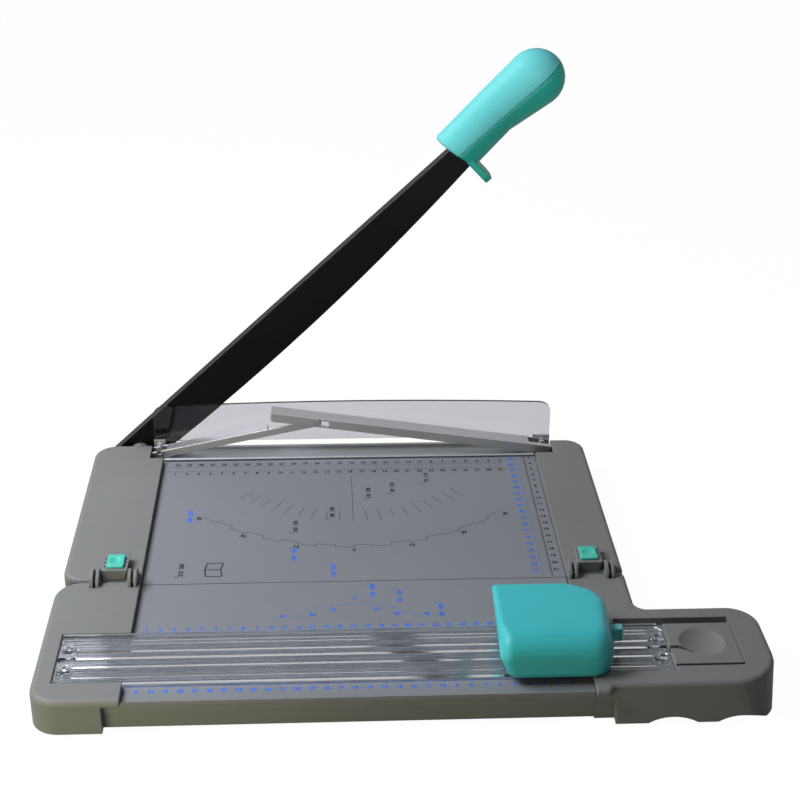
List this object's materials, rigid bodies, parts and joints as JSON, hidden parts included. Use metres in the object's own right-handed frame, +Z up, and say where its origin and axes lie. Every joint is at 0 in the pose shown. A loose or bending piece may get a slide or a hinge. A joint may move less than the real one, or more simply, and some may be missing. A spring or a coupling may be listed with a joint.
{
  "type": "guillotine and rotary paper trimmer",
  "caption": "Paper trimmer with a lever guillotine along the rear and a rotary cutter on a clear rail along the folding front, printed board between.",
  "frame": {"origin": "on the table, below the middle of the whole outline", "axes": "+Z up, +X to the right along the cutting edge, the operator at -Y"},
  "size_m": [0.519, 0.3935, 0.3765],
  "materials": {
    "casing_grey": "satin",
    "board_grey": "matte",
    "aluminium_bed": "brushed",
    "knife_steel": "ground",
    "black_steel": "satin",
    "screw_steel": "satin",
    "clear_plastic": "clear",
    "teal_light": "satin",
    "teal_dark": "satin",
    "clamp_metal": "satin",
    "foot_rubber": "matte",
    "mat_grey": "matte"
  },
  "bodies": {
    "rear_half": {"rear_pan": "casing_grey", "left_casing": "casing_grey", "right_casing": "casing_grey", "rear_board": "board_grey", "bed_strip": "aluminium_bed", "bed_knife": "knife_steel", "bed_screws": "screw_steel", "finger_guard": "clear_plastic", "guard_brackets": "screw_steel", "clamp_pivots": "screw_steel", "clamp_springs": "screw_steel", "pivot_bracket": "screw_steel", "pivot_bolt": "screw_steel", "pivot_spacer": "screw_steel", "pivot_washer": "screw_steel", "pivot_disc_spring": "screw_steel", "pivot_nut": "screw_steel", "hinge_pins": "screw_steel", "rear_feet": "foot_rubber", "rear_screws": "screw_steel"},
    "arm": {"knife_blade": "black_steel", "arm_bar": "black_steel", "blade_screws": "screw_steel", "handle_upper": "teal_light", "handle_lower": "teal_dark", "handle_screws": "screw_steel"},
    "left_clamp": {"clamp_left": "clamp_metal", "clamp_link_pin": "screw_steel"},
    "right_clamp": {"clamp_right": "clamp_metal"},
    "left_latch": {"latch_left": "teal_light"},
    "right_latch": {"latch_right": "teal_light"},
    "front_half": {"front_shell": "casing_grey", "wing_shell": "casing_grey", "front_ears": "casing_grey", "front_plate": "casing_grey", "front_board": "board_grey", "ruler_ledge": "board_grey", "cutting_mat": "mat_grey", "parking_pad": "casing_grey", "front_feet": "foot_rubber", "front_screws": "screw_steel", "rail_pegs": "clear_plastic", "rail_springs": "screw_steel"},
    "rail": {"rail_rear": "clear_plastic", "rail_front": "clear_plastic"},
    "carriage": {"carriage_cover": "teal_light", "carriage_shoe": "casing_grey", "blade_holder": "mat_grey", "blade_axle": "screw_steel"},
    "blade": {"rotary_blade": "knife_steel"},
    "knob": {"release_knob": "teal_light"}
  },
  "joints": [
    {"name": "arm_swing", "type": "hinge", "parent": "rear_half", "child": "arm", "pos_m": [-0.22, 0.17425, 0.019], "axis": [0, 1, 0], "range_deg": [-14, 41]},
    {"name": "clamp_right_turn", "type": "hinge", "parent": "rear_half", "child": "right_clamp", "pos_m": [0.136, 0.16225, 0.028], "axis": [0, 1, 0], "range_deg": [-8.28, 0], "stiffness_Nm_per_rad": 0.25, "springref_deg": 8.59},
    {"name": "clamp_left_turn", "type": "hinge", "parent": "rear_half", "child": "left_clamp", "pos_m": [-0.2015, 0.16225, 0.028], "axis": [0, 1, 0], "range_deg": [0, 11.9]},
    {"name": "latch_left_slide", "type": "slide", "parent": "rear_half", "child": "left_latch", "axis": [0, -1, 0], "range_m": [0, 0.003]},
    {"name": "latch_right_slide", "type": "slide", "parent": "rear_half", "child": "right_latch", "axis": [0, -1, 0], "range_m": [0, 0.003]},
    {"name": "front_fold", "type": "hinge", "parent": "rear_half", "child": "front_half", "pos_m": [-0.197, -0.04825, 0.0278], "axis": [-1, 0, 0], "range_deg": [0, 90]},
    {"name": "rail_float", "type": "slide", "parent": "front_half", "child": "rail", "axis": [0, 0, -1], "range_m": [0, 0.001], "stiffness_N_per_m": 4000, "springref_m": -0.001, "deforming": ["rail_springs"]},
    {"name": "carriage_slide", "type": "slide", "parent": "rail", "child": "carriage", "axis": [1, 0, 0], "range_m": [-0.285, 0.033]},
    {"name": "blade_spin", "type": "hinge", "parent": "carriage", "child": "blade", "pos_m": [0.103, -0.14625, 0.0392], "axis": [0, 1, 0], "continuous": true},
    {"name": "knob_press", "type": "slide", "parent": "carriage", "child": "knob", "axis": [-1, 0, 0], "range_m": [0, 0.004], "stiffness_N_per_m": 300, "springref_m": -0.002}
  ],
  "couplings": [
    {"joint": "clamp_left_turn", "follows": "clamp_right_turn", "ratio": -1.4312}
  ]
}
